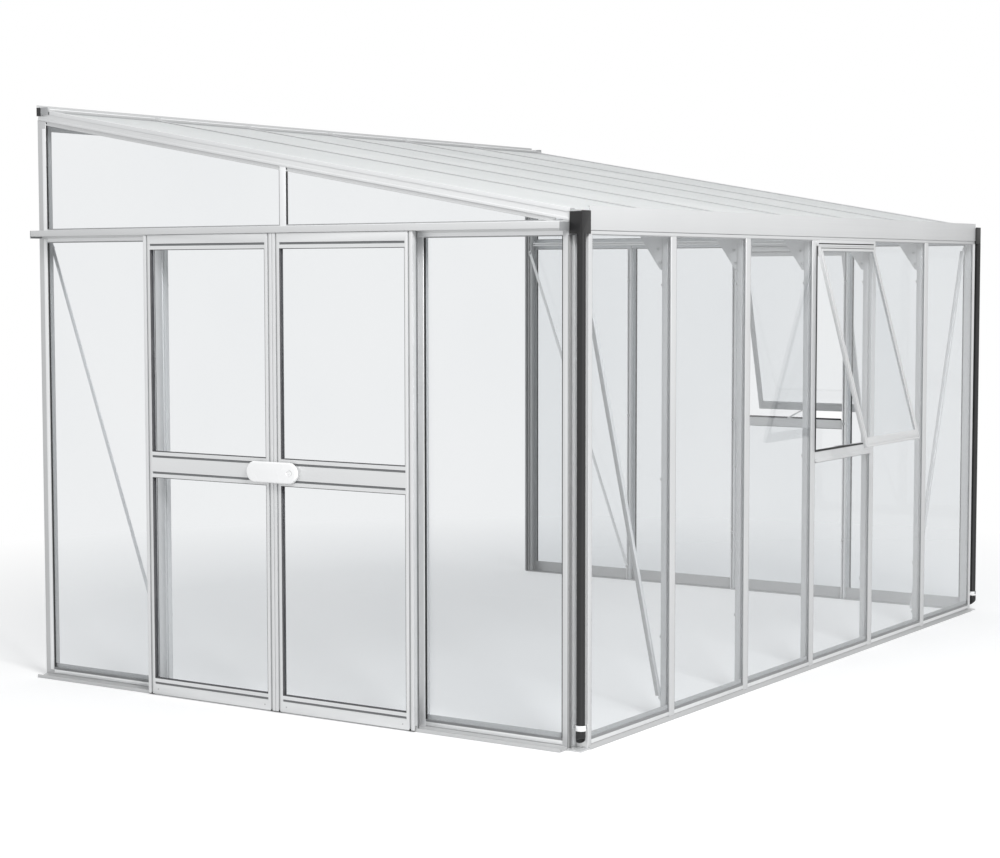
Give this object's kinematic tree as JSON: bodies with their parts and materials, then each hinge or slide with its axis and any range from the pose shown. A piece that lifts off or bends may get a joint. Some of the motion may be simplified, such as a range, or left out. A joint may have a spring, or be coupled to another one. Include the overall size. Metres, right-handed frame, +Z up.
{
  "type": "lean-to greenhouse",
  "caption": "Glazed aluminium lean-to greenhouse with a single-slope roof, sliding double doors, top-hung windows, an eaves gutter and downpipes.",
  "frame": {"origin": "middle of the underside of the whole greenhouse with its windows open as stored", "axes": "+X along the eaves from the door gable to the far gable, +Y from the eaves towards the house wall, +Z up"},
  "size_m": [4.154, 2.8608, 2.387],
  "materials": {
    "aluminium": "satin mill-finish extrusion",
    "clear_glass": "clear toughened horticultural glass, 4 mm",
    "twinwall_sheet": "translucent twin-wall polycarbonate, 10 mm",
    "black_plastic": "black moulded plastic",
    "white_plastic": "white moulded plastic"
  },
  "bodies": {
    "greenhouse_frame": {"sill_door_gable": "aluminium", "sill_eaves": "aluminium", "sill_far_gable": "aluminium", "eaves_post_1": "aluminium", "eaves_post_2": "aluminium", "eaves_post_3": "aluminium", "eaves_post_4": "aluminium", "eaves_post_5": "aluminium", "door_jamb_eaves_side": "aluminium", "door_jamb_wall_side": "aluminium", "far_gable_post_1": "aluminium", "far_gable_post_2": "aluminium", "far_gable_post_3": "aluminium", "wall_post_door_gable": "aluminium", "wall_post_far_gable": "aluminium", "corner_post_door_gable": "aluminium", "corner_post_far_gable": "aluminium", "gutter": "aluminium", "gable_rail_door": "aluminium", "gable_rail_far": "aluminium", "verge_rafter_door": "aluminium", "verge_rafter_far": "aluminium", "roof_bar_1": "aluminium", "roof_bar_2": "aluminium", "roof_bar_3": "aluminium", "roof_bar_4": "aluminium", "roof_bar_5": "aluminium", "wall_plate": "aluminium", "brace_door_gable": "aluminium", "brace_far_gable": "aluminium", "brace_eaves_first_bay": "aluminium", "brace_eaves_last_bay": "aluminium", "door_track": "aluminium", "eaves_window_frame": "aluminium", "far_window_frame": "aluminium", "downpipe_door_gable": "black_plastic", "downpipe_far_gable": "black_plastic", "roof_glazing": "twinwall_sheet", "eaves_glass_bays_1_3": "clear_glass", "eaves_glass_bay_4_below_window": "clear_glass", "eaves_glass_bays_5_6": "clear_glass", "door_gable_glass_eaves_side": "clear_glass", "door_gable_glass_wall_side": "clear_glass", "door_gable_glass_top": "clear_glass", "far_gable_glass_1": "clear_glass", "far_gable_glass_2_below_window": "clear_glass", "far_gable_glass_3": "clear_glass", "far_gable_glass_4": "clear_glass", "far_gable_glass_top": "clear_glass"},
    "door_wall_side": {"door_frame_wall_side": "aluminium", "door_glass_wall_side": "clear_glass"},
    "door_eaves_side": {"door_frame_eaves_side": "aluminium", "door_glass_eaves_side": "clear_glass"},
    "latch": {"door_latch": "white_plastic"},
    "eaves_window": {"eaves_window_sash": "aluminium", "eaves_window_glass": "clear_glass"},
    "eaves_stay": {"eaves_window_stay": "aluminium"},
    "far_window": {"far_window_sash": "aluminium", "far_window_glass": "clear_glass"},
    "far_stay": {"far_window_stay": "aluminium"}
  },
  "joints": [
    {"name": "door_wall_side_slide", "type": "slide", "parent": "greenhouse_frame", "child": "door_wall_side", "axis": [0, 1, 0], "range_m": [0, 0.6]},
    {"name": "door_eaves_side_slide", "type": "slide", "parent": "greenhouse_frame", "child": "door_eaves_side", "axis": [0, -1, 0], "range_m": [0, 0.6]},
    {"name": "latch_swivel", "type": "hinge", "parent": "door_eaves_side", "child": "latch", "pos_m": [-2.06403, 0.05242, 0.932], "axis": [1, 0, 0], "range_deg": [0, 90]},
    {"name": "eaves_window_hinge", "type": "hinge", "parent": "greenhouse_frame", "child": "eaves_window", "pos_m": [0.23497, -1.19758, 1.79673], "axis": [1, 0, 0], "range_deg": [0, 15]},
    {"name": "eaves_stay_pivot", "type": "hinge", "parent": "eaves_window", "child": "eaves_stay", "pos_m": [0.23497, -1.4025, 0.974], "axis": [1, 0, 0], "range_deg": [-15, 0]},
    {"name": "far_window_hinge", "type": "hinge", "parent": "greenhouse_frame", "child": "far_window", "pos_m": [1.84497, -0.18358, 1.79373], "axis": [0, 1, 0], "range_deg": [0, 15]},
    {"name": "far_stay_pivot", "type": "hinge", "parent": "far_window", "child": "far_stay", "pos_m": [2.04912, -0.18358, 0.9739], "axis": [0, 1, 0], "range_deg": [-15, 0]}
  ],
  "couplings": [
    {"joint": "eaves_stay_pivot", "follows": "eaves_window_hinge", "ratio": -1},
    {"joint": "far_stay_pivot", "follows": "far_window_hinge", "ratio": -1}
  ]
}
